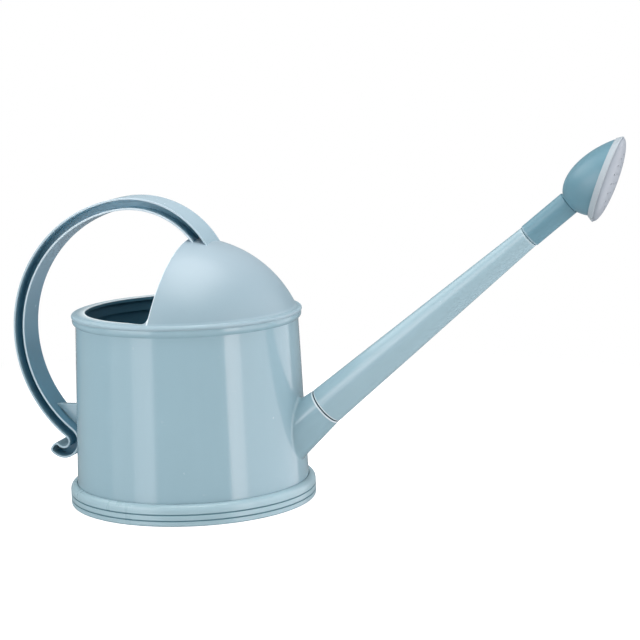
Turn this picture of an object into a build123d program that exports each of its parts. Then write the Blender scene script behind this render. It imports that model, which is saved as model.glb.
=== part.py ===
from build123d import *
import os
from math import acos, atan2, cos, degrees, radians, sin, sqrt, tan

os.makedirs("parts", exist_ok=True)

# Watering can of about five litres, in millimetres.
# The origin is the centre of the underside, +Z is up and +X points along the spout.

# Fits
glue_gap = 0.15  # between pieces that are bonded or screwed together
push_fit = 0.08  # radial play of a spigot in its socket
seal_play = 0.04  # play of a rubber ring in its groove and on its seat
seam_gap = 0.3  # open seam between a shoulder and the end it stops on

# Base cap
flange_overhang = 5.5  # beyond the foot of the wall
flange_height = 18.0
flange_round = 4.9
band_heights = (4.8, 9.9)  # the two grooves that part the three bands
groove_depth = 0.8
groove_width = 1.2
floor_height = 6.0  # top of the floor, where the wall stands
recess_depth = 2.5
stand_ring_width = 14.0
centre_pad_radius = 24.0
upstand_height = 9.0
upstand_wall = 2.2
foot_chamfer = 1.0

# Tank
tank_height = 162.8  # joint between tank and top cover
tank_foot_radius = 101.9
tank_draft = 2.0  # degrees, the wall narrows upwards
tank_wall = 2.4
rim_bead_height = 6.0
rim_bead_swell = 2.8
joint_groove = 0.5

# Top cover
cover_height = 3.6  # from the joint up to the land
cover_bead_swell = 0.6  # beyond the tank's own bead
land_round = 2.0
skirt_depth = 8.0
skirt_wall = 2.4
hood_inset = 2.6  # from the land's edge in to the hood
hood_rise = 62.4  # from the land up to the crown
hood_wall = 2.4
lip_height = 1.0
mouth_radius = 88.0  # edge of the flat ring round the open half
mouth_ring_height = 3.4
arch_x = -1.1  # where the arch leaves the land
arch_lean = 7.5  # degrees towards the spout
arch_corner = 7.0

# Handle, a strap of I section
handle_radius = 119.5  # outer face of the large bend
handle_centre_z = 145.6
crown_start = 98.2  # degrees, where a smaller bend takes over towards the hood
foot_x = 18.8  # where the middle of the strap meets the hood
foot_tail = 20.0  # degrees of bend below the hood, cut away by it
strap_depth = 10.6
strap_width = 30.0
strap_foot_width = 34.0
flange_thickness = 1.8
web_thickness = 3.0
curl_radius = 10.0  # middle of the strap
curl_z = 48.5
curl_gap = 0.3  # between the curl and the wall
curl_end = -125.0  # degrees
tip_length = 6.5
tip_round = 4.0

# Rib and forked tongue that hold the handle's lower end
rib_thickness = 6.0
rib_top_z = 80.0
tongue_depth = 5.0
tongue_height = 10.0
tongue_drop = 4.0  # below the top of the rib

# Screw that holds the handle's upper end
screw_offset = 3.8  # from the middle of the strap's foot towards the grip
screw_shank = 1.75
screw_head = 3.6
screw_head_height = 2.4
screw_grip = 8.0  # length in the strap
screw_socket_depth = 1.3
boss_radius = 5.6
boss_drop = 4.2  # below the inside of the hood
screw_clearance = 0.25
foot_boss_radius = 4.2  # round the screw, between the strap's flanges

# Spout
spout_angle = 39.5  # degrees above level
spout_root_z = 64.4  # axis at the wall
stub_length = 30.2
stub_flare = 3.3
stub_fillet = 3.0
tube_length = 229.8
tube_foot_radius = 17.1
tube_tip_radius = 9.43
tube_wall = 2.0
seam_chamfer = 0.9
spigot_radius = 14.0
spigot_length = 24.0
spigot_wall = 2.2
tip_spigot_radius = 7.2
tip_spigot_length = 26.0
tip_spigot_wall = 1.6
lead_in = 1.0
bore_blend = 6.0
seal_groove_width = 3.0
seal_groove_depth = 1.3
seal_setback = 6.0  # from the end of its spigot or neck

# Rose
neck_radius = 10.0
neck_length = 42.0
neck_chamfer = 0.6
neck_root_radius = 9.0  # where the neck's core runs into the dome
neck_root_length = 6.0
dome_ahead = 50.6  # centre of the dome, along the spout's axis from the end of the neck
dome_drop = 11.7  # and below that axis
dome_turn = 18.3  # degrees below the spout's axis
dome_length = 53.0  # half axes of the dome
dome_height = 29.7
dome_width = 35.2
dome_wall = 2.2
face_ahead = 37.8
face_drop = 5.85
face_turn = 59.4
face_radius = 36.9
face_back_radius = 33.6  # the rim narrows back to the dome
face_rim = 5.0
face_ledge = 1.3  # flat ring between the rim and the domed face
face_rise = 7.2
face_back_rise = 1.7  # of the plate's back, inside its spigot
face_wall = 2.2
face_spigot_radius = 27.0
face_spigot_depth = 3.0
face_spigot_wall = 1.8
spray_hole = 0.9
spray_pitch = 7.8
spray_rings = 3

# Places that follow from the sizes
flange_radius = tank_foot_radius + flange_overhang
rim_z = tank_height
land_z = tank_height + cover_height
bead_z = tank_height - rim_bead_height


def wall_radius(z):
    """Outer radius of the tank's wall at a height."""
    return tank_foot_radius - (z - floor_height) * tan(radians(tank_draft))


rim_radius = wall_radius(bead_z) + rim_bead_swell
joint_radius = rim_radius - joint_groove
cover_radius = rim_radius + cover_bead_swell
land_radius = cover_radius - land_round

hood_foot = land_radius - hood_inset
hood_radius = (hood_foot**2 + hood_rise**2) / (2 * hood_rise)
hood_centre_z = land_z + hood_rise - hood_radius
hood_inner = hood_radius - hood_wall
skirt_outer = wall_radius(rim_z) - tank_wall - glue_gap
skirt_inner = skirt_outer - skirt_wall
throat_z = hood_centre_z + sqrt(hood_inner**2 - skirt_inner**2)

spout_way = Vector(cos(radians(spout_angle)), 0, sin(radians(spout_angle)))
spout_up = Vector(-sin(radians(spout_angle)), 0, cos(radians(spout_angle)))
spout_root = Vector(wall_radius(spout_root_z), 0, spout_root_z)
spout_axis = Axis(spout_root, spout_way)
spout_side = Plane(spout_root, x_dir=spout_way, z_dir=(0, -1, 0))
tube_start = stub_length
tube_end = tube_start + tube_length
neck_end = tube_end + neck_length
stub_bore = spigot_radius + push_fit
neck_bore = tip_spigot_radius + push_fit

# Base cap: stand, three bands, floor and the channel that takes the wall
channel_outer = tank_foot_radius + glue_gap
upstand_top = floor_height + upstand_height
upstand_outer = wall_radius(upstand_top) - tank_wall - glue_gap
upstand_inner = upstand_outer - upstand_wall
stand_inner = flange_radius - stand_ring_width
with BuildPart() as base_cap:
    with BuildSketch(Plane.XZ) as base_profile:
        with BuildLine():
            Polyline(
                (0, 0),
                (centre_pad_radius, 0),
                (centre_pad_radius, recess_depth),
                (stand_inner, recess_depth),
                (stand_inner, 0),
                (flange_radius - foot_chamfer, 0),
                (flange_radius, foot_chamfer),
                (flange_radius, flange_height),
                (channel_outer, flange_height),
                (channel_outer, floor_height),
                (upstand_outer, floor_height),
                (upstand_outer, upstand_top),
                (upstand_inner, upstand_top),
                (upstand_inner, floor_height),
                (0, floor_height),
                close=True,
            )
        make_face()
        fillet(base_profile.vertices().group_by(Axis.X)[-1].sort_by(Axis.Y)[-1], flange_round)
        for band_z in band_heights:
            with Locations((flange_radius, band_z)):
                Polygon(
                    (0, -groove_width / 2),
                    (0, groove_width / 2),
                    (-groove_depth, 0),
                    align=None,
                    mode=Mode.SUBTRACT,
                )
    revolve(axis=Axis.Z)
base_cap.part.label = "base_cap"
export_step(base_cap.part, "parts/base_cap.step")

# Handle path: the curl stands against the wall, the large bend is tangent to it,
# and the bend over the hood is tangent to the large one and lands on the hood at foot_x
large_bend = handle_radius - strap_depth / 2
curl_x = -(wall_radius(curl_z) + curl_gap + curl_radius + strap_depth / 2)
handle_centre_x = curl_x + sqrt((large_bend + curl_radius) ** 2 - (handle_centre_z - curl_z) ** 2)
handle_centre = Vector(handle_centre_x, handle_centre_z)
curl_centre = Vector(curl_x, curl_z)
crown_way = Vector(cos(radians(crown_start)), sin(radians(crown_start)))
foot_point = Vector(foot_x, hood_centre_z + sqrt(hood_radius**2 - foot_x**2))
foot_span = foot_point - handle_centre
crown_shift = (foot_span.dot(foot_span) - large_bend**2) / (2 * (foot_span.dot(crown_way) - large_bend))
crown_bend = large_bend - crown_shift
crown_centre = handle_centre + crown_way * crown_shift
foot_way = foot_point - crown_centre
foot_start = degrees(atan2(foot_way.Y, foot_way.X)) - foot_tail
screw_x = foot_x - screw_offset
curl_start = degrees(atan2(handle_centre_z - curl_z, handle_centre_x - curl_x))
grip_face = handle_radius - strap_depth  # inner face of the large bend

# Tank: wall with rim bead, spout stub and the rib behind it
tongue_top_z = rib_top_z - tongue_drop
tongue_middle_z = tongue_top_z - tongue_height / 2
with BuildPart() as tank_shell:
    with BuildSketch(Plane.XZ):
        with BuildLine():
            foot = Line((0, floor_height), (tank_foot_radius, floor_height))
            wall = Line(foot @ 1, (wall_radius(bead_z), bead_z))
            bead_crest = (rim_radius, bead_z + 0.6 * rim_bead_height)
            bead = ThreePointArc(wall @ 1, bead_crest, (joint_radius, rim_z))
            rim = Line(bead @ 1, (0, rim_z))
            Line(rim @ 1, foot @ 0)
        make_face()
    revolve(axis=Axis.Z)
    # the stub is long enough inwards to meet the wall all round
    stub_inward = tube_foot_radius + stub_length
    flare_rate = stub_flare / stub_length
    with BuildSketch(spout_side):
        Polygon(
            (-stub_inward, 0),
            (stub_length, 0),
            (stub_length, tube_foot_radius - seam_chamfer),
            (stub_length - seam_chamfer, tube_foot_radius),
            (-stub_inward, tube_foot_radius + flare_rate * (stub_length + stub_inward)),
            align=None,
        )
    revolve(axis=spout_axis)
    root = tank_shell.edges().filter_by(GeomType.BSPLINE)
    fillet(root, stub_fillet)
    # rib between the wall and the strap, with the tongue that the strap hooks over
    with BuildSketch(Plane.XZ) as rib:
        with Locations(handle_centre):
            Circle(grip_face - glue_gap)
        rib_reach = handle_centre_x - grip_face
        with Locations((rib_reach, rib_top_z)):
            Rectangle(
                -rib_reach - wall_radius(rib_top_z) + tank_wall,
                rib_top_z - floor_height,
                align=(Align.MIN, Align.MAX),
                mode=Mode.INTERSECT,
            )
    extrude(amount=rib_thickness / 2, both=True)
    with BuildSketch(Plane.XZ):
        with Locations(handle_centre):
            Circle(grip_face + tongue_depth)
        with Locations((-wall_radius(tongue_middle_z), tongue_middle_z)):
            Rectangle(handle_radius, tongue_height, align=(Align.MAX, Align.CENTER), mode=Mode.INTERSECT)
    extrude(amount=rib_thickness / 2, both=True)
    # the tongue is forked and straddles the strap's web
    with BuildSketch(Plane.XZ):
        with Locations(handle_centre):
            Circle(handle_radius)
            Circle(grip_face - glue_gap, mode=Mode.SUBTRACT)
    extrude(amount=web_thickness / 2 + glue_gap, both=True, mode=Mode.SUBTRACT)
    # inside of the wall and bore of the stub
    with BuildSketch(Plane.XZ):
        Polygon(
            (0, 0),
            (wall_radius(0) - tank_wall, 0),
            (wall_radius(land_z) - tank_wall, land_z),
            (0, land_z),
            align=None,
        )
    revolve(axis=Axis.Z, mode=Mode.SUBTRACT)
    with BuildSketch(spout_side):
        with Locations((stub_length, 0)):
            Rectangle(
                stub_length + stub_inward,
                stub_bore,
                align=(Align.MAX, Align.MIN),
            )
    revolve(axis=spout_axis, mode=Mode.SUBTRACT)
tank_shell.part.label = "tank_shell"
export_step(tank_shell.part, "parts/tank_shell.step")

# Top cover: bead, land, skirt and the hood with its arch
hood_foot_angle = degrees(atan2(land_z - hood_centre_z, hood_foot))
throat_angle = degrees(atan2(throat_z - hood_centre_z, skirt_inner))
crown_z = land_z + hood_rise
boss_z = hood_centre_z + sqrt(hood_inner**2 - screw_x**2) - boss_drop
lip_z = land_z + lip_height
arch_top_x = arch_x + (crown_z - lip_z) * tan(radians(arch_lean))
with BuildPart() as mouth_ring:
    with BuildSketch(Plane.XZ):
        with Locations((mouth_radius, lip_z)):
            Rectangle(skirt_outer - mouth_radius, mouth_ring_height, align=(Align.MIN, Align.MAX))
    revolve(axis=Axis.Z)
    split(bisect_by=Plane.YZ.offset(arch_x), keep=Keep.BOTTOM)
with BuildPart() as top_cover:
    with BuildSketch(Plane.XZ):
        with BuildLine():
            cover_crest = (cover_radius, rim_z + 0.45 * cover_height)
            bead = ThreePointArc((joint_radius, rim_z), cover_crest, (land_radius, land_z))
            Line(bead @ 1, (hood_foot, land_z))
            outside = CenterArc((0, hood_centre_z), hood_radius, hood_foot_angle, 90 - hood_foot_angle)
            inside = CenterArc((0, hood_centre_z), hood_inner, throat_angle, 90 - throat_angle)
            Line(outside @ 1, inside @ 1)
            Polyline(
                inside @ 0,
                (skirt_inner, rim_z - skirt_depth),
                (skirt_outer, rim_z - skirt_depth),
                (skirt_outer, rim_z),
                (joint_radius, rim_z),
            )
        make_face()
    revolve(axis=Axis.Z)
    with Locations((screw_x, 0, boss_z)):
        Cylinder(boss_radius, boss_drop + hood_wall / 2, align=(Align.CENTER, Align.CENTER, Align.MIN))
        Cylinder(
            screw_shank + screw_clearance,
            hood_rise,
            align=(Align.CENTER, Align.CENTER, Align.MIN),
            mode=Mode.SUBTRACT,
        )
    # the open half, cut from the side, which leaves a low lip round the opening
    with BuildSketch(Plane.XZ) as arch:
        with BuildLine():
            Polyline(
                (arch_top_x, crown_z),
                (arch_x, lip_z),
                (-cover_radius, lip_z),
                (-cover_radius, crown_z),
                close=True,
            )
        make_face()
        fillet(arch.vertices().group_by(Axis.Y)[0].sort_by(Axis.X)[-1], arch_corner)
    extrude(amount=cover_radius, both=True, mode=Mode.SUBTRACT)
    add(mouth_ring.part)
top_cover.part.label = "top_cover"
export_step(top_cover.part, "parts/top_cover.step")


def strap_path(tip):
    """Middle line of the strap from below the hood to a point along its tip."""
    with BuildLine() as path:
        CenterArc(crown_centre, crown_bend, foot_start, crown_start - foot_start)
        CenterArc(handle_centre, large_bend, crown_start, 180 + curl_start - crown_start)
        curl = CenterArc(curl_centre, curl_radius, curl_start, curl_end - curl_start)
        PolarLine(curl @ 1, tip, direction=curl % 1)
    return path.line


# Handle: strap of I section, scrolled at its lower end
plan_reach = handle_radius + strap_depth - handle_centre_x
flare_length = screw_x - crown_centre.X
flare_slope = (strap_foot_width - strap_width) / 2 / flare_length
plan_end = crown_bend + strap_depth
plan_half = strap_width / 2 + flare_slope * plan_end
screw_tip_z = boss_z + boss_drop + hood_wall + screw_grip
with BuildSketch(Plane.XZ) as strap_band:
    trace(strap_path(tip_length), strap_depth)
    fillet(strap_band.vertices().sort_by_distance(strap_path(tip_length) @ 1)[:2], tip_round)
with BuildSketch(Plane.XZ) as strap_channel:
    trace(strap_path(tip_length - flange_thickness), strap_depth - 2 * flange_thickness)
with BuildPart() as foot_boss:
    extrude(strap_channel.sketch, amount=foot_boss_radius, both=True)
    with Locations((screw_x, 0, crown_z)):
        Cylinder(foot_boss_radius, hood_rise, mode=Mode.INTERSECT)
with BuildPart() as handle:
    extrude(strap_band.sketch, amount=strap_foot_width, both=True)
    extrude(strap_channel.sketch, amount=strap_foot_width, both=True, mode=Mode.SUBTRACT)
    # the tongue's slot goes through the inner flange, before the web is set in
    with BuildSketch(Plane.XZ):
        with Locations(handle_centre):
            Circle(grip_face + tongue_depth + glue_gap)
        with Locations((-wall_radius(tongue_middle_z), tongue_middle_z)):
            Rectangle(
                handle_radius,
                tongue_height + 2 * glue_gap,
                align=(Align.MAX, Align.CENTER),
                mode=Mode.INTERSECT,
            )
    extrude(amount=rib_thickness / 2 + glue_gap, both=True, mode=Mode.SUBTRACT)
    extrude(strap_channel.sketch, amount=web_thickness / 2, both=True)
    add(foot_boss.part)
    with BuildSketch(Plane.XY):
        with Locations((crown_centre.X, 0)):
            Polygon(
                (-plan_reach, -strap_width / 2),
                (0, -strap_width / 2),
                (plan_end, -plan_half),
                (plan_end, plan_half),
                (0, strap_width / 2),
                (-plan_reach, strap_width / 2),
                align=None,
            )
    extrude(amount=handle_centre_z + handle_radius + strap_depth, mode=Mode.INTERSECT)
    with Locations((0, 0, hood_centre_z)):
        Sphere(hood_radius + glue_gap, mode=Mode.SUBTRACT)
    with Locations((screw_x, 0, screw_tip_z + glue_gap)):
        Cylinder(
            screw_shank + seal_play,
            hood_rise,
            align=(Align.CENTER, Align.CENTER, Align.MAX),
            mode=Mode.SUBTRACT,
        )
handle.part.label = "handle"
export_step(handle.part, "parts/handle.step")

# Screw from under the hood into the strap's foot
with BuildPart() as handle_screw:
    with BuildSketch(Plane.XY.offset(boss_z - screw_head_height)):
        with Locations((screw_x, 0)):
            Circle(screw_head)
    extrude(amount=screw_head_height)
    head_rim = handle_screw.edges().group_by(Axis.Z)[0]
    chamfer(head_rim, screw_head_height / 3)
    with BuildSketch(Plane.XY.offset(boss_z)):
        with Locations((screw_x, 0)):
            Circle(screw_shank)
    extrude(amount=screw_tip_z - boss_z)
    chamfer(handle_screw.edges().group_by(Axis.Z)[-1], screw_shank / 2)
    # cross recess
    with BuildSketch(Plane.XY.offset(boss_z - screw_head_height)):
        with Locations((screw_x, 0)):
            Rectangle(screw_head, screw_head / 5)
            Rectangle(screw_head / 5, screw_head)
    extrude(amount=screw_socket_depth, mode=Mode.SUBTRACT)
handle_screw.part.label = "handle_screw"
export_step(handle_screw.part, "parts/handle_screw.step")

# Spout tube, drawn along its axis from the wall
spigot_start = tube_start - spigot_length
tube_bottom = tube_start + seam_gap
tube_rate = (tube_foot_radius - tube_tip_radius) / tube_length
spigot_bore = spigot_radius - spigot_wall
tip_bore = tip_spigot_radius - tip_spigot_wall
tip_end = tube_end + tip_spigot_length
seal_x = spigot_start + seal_setback
bore_start = tube_bottom + 2 * bore_blend
bore_end = tube_end - 2 * bore_blend
with BuildPart() as spout_tube:
    with BuildSketch(spout_side):
        Polygon(
            (spigot_start, spigot_bore),
            (spigot_start, spigot_radius - lead_in),
            (spigot_start + lead_in, spigot_radius),
            (seal_x, spigot_radius),
            (seal_x, spigot_radius - seal_groove_depth),
            (seal_x + seal_groove_width, spigot_radius - seal_groove_depth),
            (seal_x + seal_groove_width, spigot_radius),
            (tube_bottom, spigot_radius),
            (tube_bottom, tube_foot_radius - seam_chamfer),
            (tube_bottom + seam_chamfer, tube_foot_radius),
            (tube_end, tube_tip_radius),
            (tube_end, tip_spigot_radius),
            (tip_end - lead_in, tip_spigot_radius),
            (tip_end, tip_spigot_radius - lead_in / 2),
            (tip_end, tip_bore),
            (tube_end - bore_blend, tip_bore),
            (bore_end, tube_tip_radius - tube_wall + tube_rate * 2 * bore_blend),
            (bore_start, tube_foot_radius - tube_wall - tube_rate * 2 * bore_blend),
            (tube_bottom + bore_blend, spigot_bore),
            align=None,
        )
    revolve(axis=spout_axis)
spout_tube.part.label = "spout_tube"
export_step(spout_tube.part, "parts/spout_tube.step")

# Rubber ring on the spout's spigot
with BuildPart() as spout_seal:
    ring_depth = stub_bore - seal_play - (spigot_radius - seal_groove_depth + seal_play)
    with BuildSketch(spout_side) as ring_section:
        with Locations((seal_x + seal_groove_width / 2, stub_bore - seal_play)):
            Rectangle(seal_groove_width - 2 * seal_play, ring_depth, align=(Align.CENTER, Align.MAX))
        chamfer(ring_section.vertices().group_by(Axis.Y)[-1], ring_depth / 4)
    revolve(axis=spout_axis)
spout_seal.part.label = "spout_seal"
export_step(spout_seal.part, "parts/spout_seal.step")

# Rose: places in the plane of symmetry
rose_origin = spout_root + spout_way * neck_end
dome_centre = rose_origin + spout_way * dome_ahead - spout_up * dome_drop
dome_angle = radians(spout_angle - dome_turn)
dome_way = Vector(cos(dome_angle), 0, sin(dome_angle))
dome_side = Plane(dome_centre, x_dir=dome_way, z_dir=(0, -1, 0))
face_centre = rose_origin + spout_way * face_ahead - spout_up * face_drop
face_angle = radians(spout_angle - face_turn)
face_way = Vector(cos(face_angle), 0, sin(face_angle))
face_down = Vector(sin(face_angle), 0, -cos(face_angle))
face_side = Plane(face_centre, x_dir=face_down, z_dir=(0, -1, 0))
face_plane = Plane(face_centre, x_dir=(0, 1, 0), z_dir=face_way)
face_axis = Axis(face_centre, face_way)
neck_start = tube_end + seam_gap
neck_seal_x = neck_start + seal_setback

# Inside of the dome
with BuildPart() as dome_inside:
    with BuildSketch(dome_side):
        Ellipse(dome_length - dome_wall, dome_height - dome_wall)
        Rectangle(2 * dome_length, dome_height, align=(Align.CENTER, Align.MAX), mode=Mode.SUBTRACT)
    revolve(axis=Axis(dome_centre, dome_way))
    scale(by=(1, (dome_width - dome_wall) / (dome_height - dome_wall), 1), about=(0, 0, 0))

# Rose shell: a dome with unequal axes and the neck that turns on the spout
with BuildPart() as rose_shell:
    with BuildSketch(dome_side):
        Ellipse(dome_length, dome_height)
        Rectangle(2 * dome_length, dome_height, align=(Align.CENTER, Align.MAX), mode=Mode.SUBTRACT)
    revolve(axis=Axis(dome_centre, dome_way))
    scale(by=(1, dome_width / dome_height, 1), about=(0, 0, 0))
    split(bisect_by=face_plane.offset(-face_rim), keep=Keep.BOTTOM)
    with BuildSketch(spout_side):
        Polygon(
            (neck_start, 0),
            (neck_start, neck_radius - neck_chamfer),
            (neck_start + neck_chamfer, neck_radius),
            (neck_end, neck_radius),
            (neck_end, neck_root_radius),
            (neck_end + neck_root_length, neck_root_radius),
            (neck_end + neck_root_length, 0),
            align=None,
        )
    revolve(axis=spout_axis)
    add(dome_inside.part, mode=Mode.SUBTRACT)
    with BuildSketch(spout_side):
        Polygon(
            (neck_start, 0),
            (neck_start, neck_bore),
            (neck_seal_x, neck_bore),
            (neck_seal_x, neck_bore + seal_groove_depth),
            (neck_seal_x + seal_groove_width, neck_bore + seal_groove_depth),
            (neck_seal_x + seal_groove_width, neck_bore),
            (tip_end + lead_in, neck_bore),
            (tip_end + lead_in, tip_bore),
            (neck_end + neck_root_length, tip_bore),
            (neck_end + neck_root_length, 0),
            align=None,
        )
    revolve(axis=spout_axis, mode=Mode.SUBTRACT)
rose_shell.part.label = "rose_shell"
export_step(rose_shell.part, "parts/rose_shell.step")

# Rubber ring in the rose's neck
with BuildPart() as rose_seal:
    ring_depth = neck_bore + seal_groove_depth - seal_play - (tip_spigot_radius + seal_play)
    with BuildSketch(spout_side) as ring_section:
        with Locations((neck_seal_x + seal_groove_width / 2, tip_spigot_radius + seal_play)):
            Rectangle(seal_groove_width - 2 * seal_play, ring_depth, align=(Align.CENTER, Align.MIN))
        chamfer(ring_section.vertices().group_by(Axis.Y)[0], ring_depth / 4)
    revolve(axis=spout_axis)
rose_seal.part.label = "rose_seal"
export_step(rose_seal.part, "parts/rose_seal.step")

# Rose face: domed spray plate inside a rim that narrows towards the dome
spray_radius = face_radius - face_ledge
face_spigot_bore = face_spigot_radius - face_spigot_wall
back_bend = (face_spigot_bore**2 + face_back_rise**2) / (2 * face_back_rise)
back_centre_z = face_rise - face_wall - back_bend
back_start = degrees(acos(face_spigot_bore / back_bend))
with BuildPart() as rose_face:
    with BuildSketch(face_side) as face_profile:
        with BuildLine():
            front = EllipticalCenterArc((0, 0), spray_radius, face_rise, arc_size=90)
            back = CenterArc((0, back_centre_z), back_bend, back_start, 90 - back_start)
            Polyline(
                front @ 0,
                (face_radius, 0),
                (face_back_radius, -face_rim),
                (face_spigot_radius, -face_rim),
                (face_spigot_radius, -face_rim - face_spigot_depth),
                (face_spigot_bore, -face_rim - face_spigot_depth),
                back @ 0,
            )
            Line(back @ 1, front @ 1)
        make_face()
    revolve(axis=face_axis)
    with BuildSketch(face_plane.offset(-face_rim)):
        Circle(spray_hole)
        for ring in range(1, spray_rings + 1):
            with PolarLocations(ring * spray_pitch, 6 * ring):
                Circle(spray_hole)
    extrude(amount=face_rim + 2 * face_rise, mode=Mode.SUBTRACT)
rose_face.part.label = "rose_face"
export_step(rose_face.part, "parts/rose_face.step")
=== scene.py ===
from math import acos, atan2, cos, pi, radians, sin, sqrt, tan

import bmesh
import bpy
from mathutils import Matrix, Vector


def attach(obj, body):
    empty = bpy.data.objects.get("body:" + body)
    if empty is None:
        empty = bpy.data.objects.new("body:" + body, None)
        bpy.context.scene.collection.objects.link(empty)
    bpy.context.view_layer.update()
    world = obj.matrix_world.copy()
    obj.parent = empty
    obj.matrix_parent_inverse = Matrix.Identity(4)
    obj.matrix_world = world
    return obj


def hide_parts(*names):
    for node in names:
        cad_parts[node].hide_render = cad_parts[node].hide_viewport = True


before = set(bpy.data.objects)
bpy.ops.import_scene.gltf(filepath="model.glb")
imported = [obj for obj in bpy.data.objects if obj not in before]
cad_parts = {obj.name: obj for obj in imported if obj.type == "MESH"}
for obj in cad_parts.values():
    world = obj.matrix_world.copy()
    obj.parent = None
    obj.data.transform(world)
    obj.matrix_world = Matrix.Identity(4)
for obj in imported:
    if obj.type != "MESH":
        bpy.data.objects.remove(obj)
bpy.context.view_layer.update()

# Sizes in millimetres, as the solids have them: the origin is the centre of the underside,
# +Z is up and +X points along the spout.
MM = 0.001
TURN = 192  # steps round a turned piece
PLAY = 0.15  # between a wall and what is pushed inside it

FLANGE_RADIUS, FLANGE_HEIGHT, FLANGE_ROUND = 107.4, 18.0, 4.9
BANDS = (4.8, 9.9)
GROOVE_WIDTH, GROOVE_DEPTH = 1.2, 0.8
FLOOR_Z, RECESS_Z, STAND_INNER, PAD_RADIUS = 6.0, 2.5, 93.4, 24.0
CHANNEL_OUTER, UPSTAND_TOP, UPSTAND_WALL = 101.95, 15.0, 2.2

FOOT_RADIUS, DRAFT, WALL = 101.9, tan(radians(2.0)), 2.4
BEAD_Z, RIM_Z, LAND_Z = 156.8, 162.8, 166.4
TANK_CREST_Z, COVER_CREST_Z = BEAD_Z + 3.6, RIM_Z + 1.62


def wall_radius(z):
    """Outer radius of the tank's wall at a height."""
    return FOOT_RADIUS - (z - FLOOR_Z) * DRAFT


RIM_RADIUS = wall_radius(BEAD_Z) + 2.8
JOINT_RADIUS = RIM_RADIUS - 0.5
COVER_RADIUS = RIM_RADIUS + 0.6
LAND_RADIUS = COVER_RADIUS - 2.0
HOOD_FOOT = LAND_RADIUS - 2.6
HOOD_RISE, HOOD_WALL, HOOD_FILLET, LIP_Z = 62.4, 2.4, 0.35, LAND_Z + 1.0
MOUTH_RADIUS, MOUTH_DEPTH = 88.0, 3.4
COVER_STEPS, MOUTH_EASE = 72, 9  # columns of points along each side of arch and lip, and where they join
HOOD_RADIUS = (HOOD_FOOT**2 + HOOD_RISE**2) / (2 * HOOD_RISE)
HOOD_CENTRE = Vector((0, 0, LAND_Z + HOOD_RISE - HOOD_RADIUS))
SKIRT_OUTER = wall_radius(RIM_Z) - WALL - PLAY
SKIRT_INNER = SKIRT_OUTER - 2.4
SKIRT_Z = RIM_Z - 8.0
ARCH_X, ARCH_LEAN, ARCH_CORNER = -1.1, radians(7.5), 7.0
COVER_EDGE, LEDGE_EDGE = 0.45, 0.4
BOSS_RADIUS, BOSS_BORE, BOSS_LENGTH, BOSS_SUNK = 5.6, 2.0, 4.2, 1.2

STRAP_DEPTH, STRAP_WIDTH, STRAP_FOOT_WIDTH = 10.6, 30.0, 34.0
STRAP_FLANGE, STRAP_WEB, STRAP_EDGE, STRAP_SUNK = 1.8, 3.0, 0.5, 0.35
LARGE_BEND = 119.5 - STRAP_DEPTH / 2
CURL_RADIUS, CURL_END = 10.0, radians(-125.0)
TIP_LENGTH, TIP_ROUND, SLOT_ROUND = 6.5, 4.0, 2.4
CROWN_START = radians(98.2)
CURL_Z, CURL_CLEAR, BEND_Z, FOOT_X = 48.5, 0.3, 145.6, 18.8
CURL = Vector((-(wall_radius(CURL_Z) + CURL_CLEAR + CURL_RADIUS + STRAP_DEPTH / 2), CURL_Z))
BEND = Vector((CURL.x + sqrt((LARGE_BEND + CURL_RADIUS) ** 2 - (BEND_Z - CURL.y) ** 2), BEND_Z))
CURL_START = atan2(BEND.y - CURL.y, BEND.x - CURL.x)
FOOT_POINT = Vector((FOOT_X, HOOD_CENTRE.z + sqrt(HOOD_RADIUS**2 - FOOT_X**2)))
SCREW_X = 15.0
RIB_TOP, RIB_STEP, RIB_STEPS, RIB_HALF, RIB_SUNK, RIB_PLAY = 80.0, 1.6, 19, 3.0, 1.6, 0.1
PRONG_HEIGHTS, PRONG_GAP, PRONG_REACH, PRONG_ROOT = (76.0, 73.0, 69.5, 66.0), 1.65, 5.0, 1.0

SPOUT_TILT = radians(39.5)
SPOUT_WAY = Vector((cos(SPOUT_TILT), 0, sin(SPOUT_TILT)))
SPOUT_UP = Vector((-sin(SPOUT_TILT), 0, cos(SPOUT_TILT)))
SPOUT_ROOT_Z = 64.4
SPOUT_ROOT = Vector((wall_radius(SPOUT_ROOT_Z), 0, SPOUT_ROOT_Z))
STUB_LENGTH, STUB_FLARE, STUB_FILLET, STUB_BORE = 30.2, 3.3, 3.0, 14.08
FILLET_LEAST, FILLET_MOST, BORE_CHAMFER = 1.5, 6.0, 0.4
SKIN_START, BORE_START = -40, -60  # places inside the can, along the spout
STUB_CHAMFER = ((1.1, 0.0), (0.9, 0.0), (0.65, 0.1), (0.1, 0.75), (0.0, 1.1))  # back from the end, and in
DRILL_RADIUS, DRILL_LOW, DRILL_HIGH = 16.2, -30, 18
TUBE_FOOT, TUBE_TIP, TUBE_LENGTH, SEAM = 17.1, 9.43, 229.8, 0.3
TUBE_END = STUB_LENGTH + TUBE_LENGTH
TUBE_WALL, TUBE_CHAMFER, TUBE_EASE = 2.0, 0.9, 12.0
SPIGOT, SPIGOT_LENGTH, SPIGOT_BORE, SPIGOT_BED = 14.0, 24.0, 11.8, 12.7
TIP_SPIGOT, TIP_SPIGOT_LENGTH, TIP_BORE = 7.2, 26.0, 5.6
SEAL_BACK, SEAL_LENGTH = 6.0, 3.0
NECK_RADIUS, NECK_LENGTH = 10.0, 42.0
NECK_BORE, NECK_BED, NECK_PLUG, NECK_STOP, NECK_CHAMFER = 7.28, 8.58, 9.0, 27.0, 0.6
ROSE_ORIGIN = SPOUT_ROOT + SPOUT_WAY * (TUBE_END + NECK_LENGTH)
DOME_TILT = SPOUT_TILT - radians(18.3)
DOME_WAY = Vector((cos(DOME_TILT), 0, sin(DOME_TILT)))
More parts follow.
